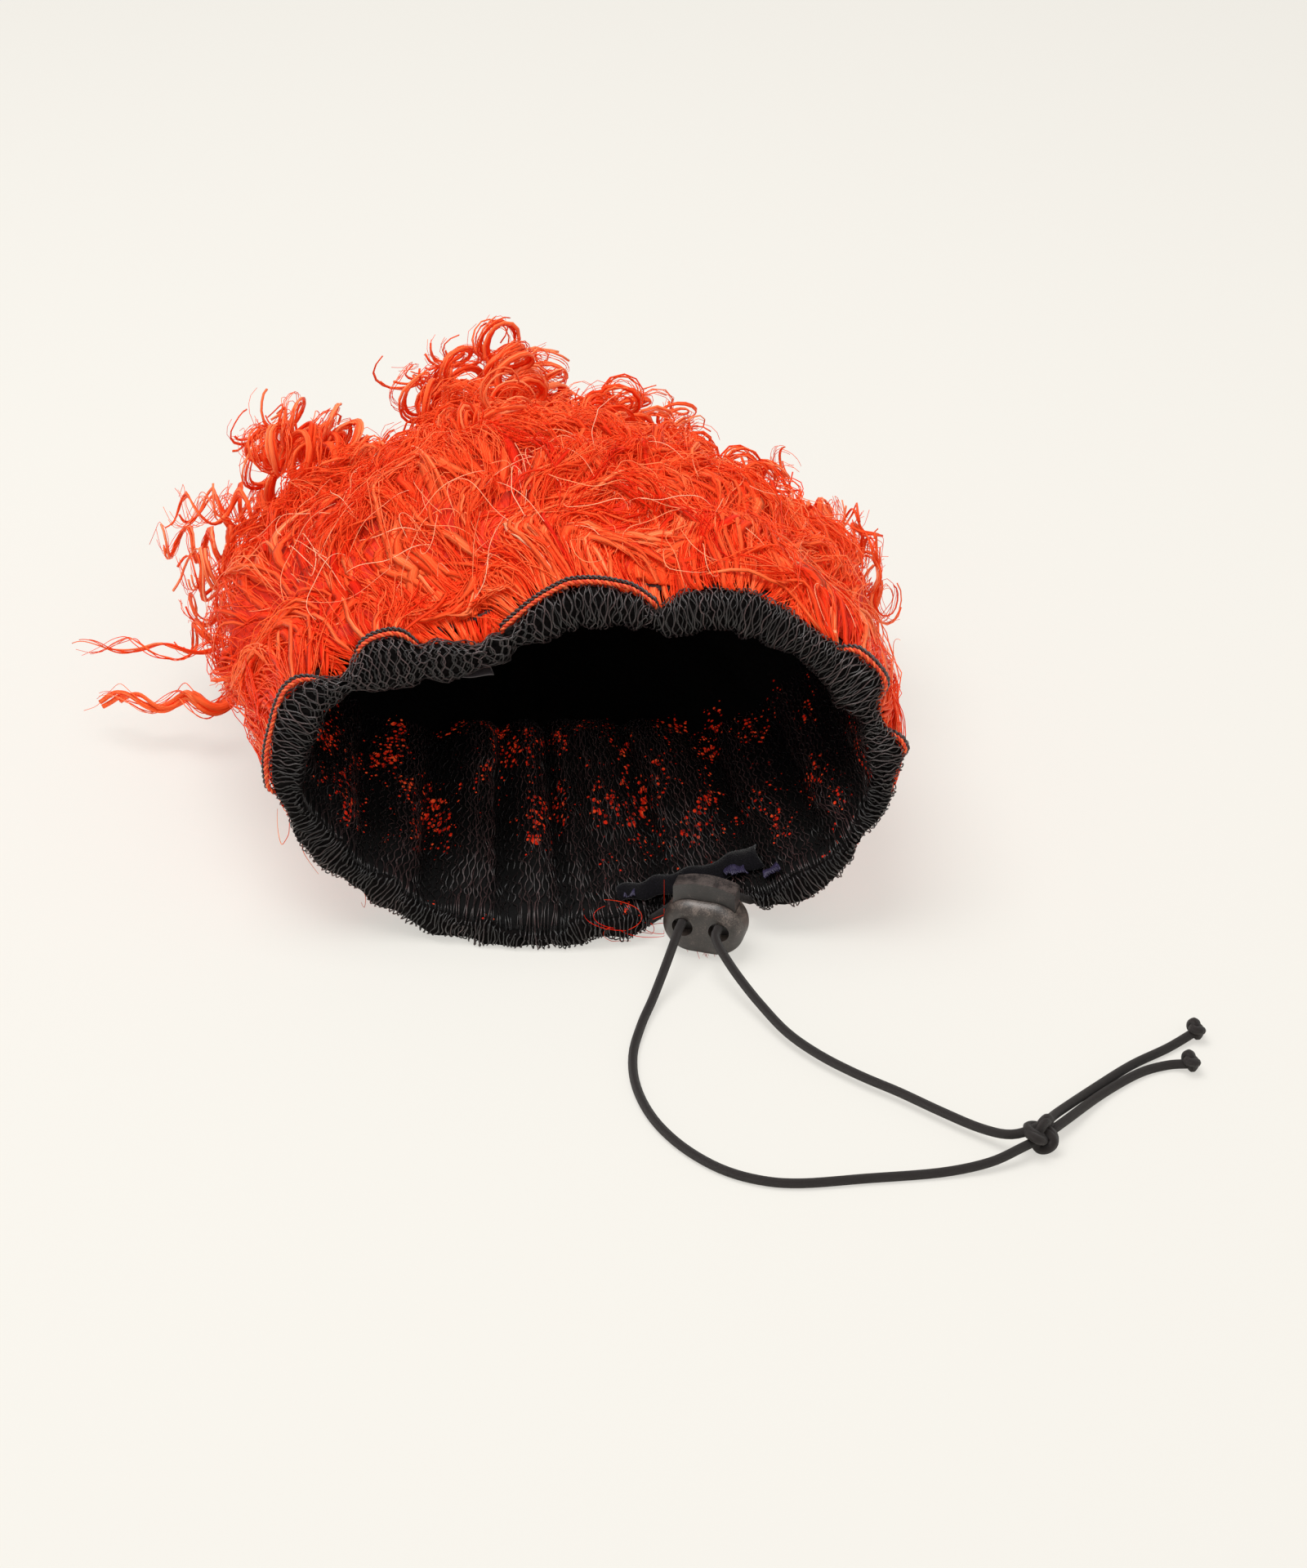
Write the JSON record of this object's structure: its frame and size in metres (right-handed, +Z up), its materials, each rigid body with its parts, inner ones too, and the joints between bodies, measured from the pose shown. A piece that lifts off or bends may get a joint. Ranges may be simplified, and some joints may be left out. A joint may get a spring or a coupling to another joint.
{
  "type": "costume wig",
  "caption": "Curly costume wig on a gathered net cap, lying on its side, with a drawstring hem, a spring cord lock and a knotted round elastic.",
  "frame": {"origin": "on the table, under the middle of the cap's opening in width, where the hair's flattened underside rests", "axes": "+Z up from the table, +Y from the opening towards the crown, +X to the right as seen from the opening"},
  "size_m": [0.3044, 0.3142, 0.1],
  "materials": {
    "hair": "glossy synthetic fibre, bright orange-red, crimped and curled",
    "weft_thread": "sewn thread with orange-red hair caught in it",
    "net": "black polyester net, gathered",
    "hem_net": "black net folded and gathered over the elastic",
    "velvet_tape": "matt black woven tape",
    "tack_thread": "dark purple sewing thread",
    "satin_tape": "grey-black satin tape, folded",
    "elastic": "round braided elastic, black, slight sheen",
    "lock_plastic": "moulded, satin, dark warm grey",
    "plunger_plastic": "moulded, satin, near black",
    "spring_steel": "drawn wire"
  },
  "bodies": {
    "cap": {"lining_net": "net", "cap_base_net": "net", "rim_hem": "hem_net", "exit_tape": "velvet_tape", "bar_tacks": "tack_thread", "inner_tab": "satin_tape", "elastic_ring": "elastic", "weft_header_1": "weft_thread", "weft_header_2": "weft_thread", "weft_header_3": "weft_thread", "weft_header_4": "weft_thread", "weft_header_5": "weft_thread", "weft_header_6": "weft_thread", "weft_header_7": "weft_thread", "weft_header_8": "weft_thread", "hair_row_1": "hair", "hair_row_2": "hair", "hair_row_3": "hair", "hair_row_4": "hair", "hair_row_5": "hair", "hair_row_6": "hair", "hair_row_7": "hair", "hair_row_8": "hair", "curls_left": "hair", "curls_crown": "hair", "curls_right": "hair", "stray_lock": "hair", "cord_strand_left": "elastic", "cord_strand_right": "elastic", "cord_knot": "elastic", "end_knot_left": "elastic", "end_knot_right": "elastic"},
    "lock": {"lock_body": "lock_plastic", "lock_spring": "spring_steel"},
    "plunger": {"lock_plunger": "plunger_plastic"}
  },
  "joints": [
    {"name": "cord_lock_slide", "type": "slide", "parent": "cap", "child": "lock", "axis": [-0.2756, -0.9613, 0], "range_m": [0, 0.005]},
    {"name": "plunger_press", "type": "slide", "parent": "lock", "child": "plunger", "axis": [0, 0, -1], "range_m": [0, 0.003], "stiffness_N_per_m": 500, "springref_m": -0.003, "deforming": ["lock_spring"]}
  ]
}
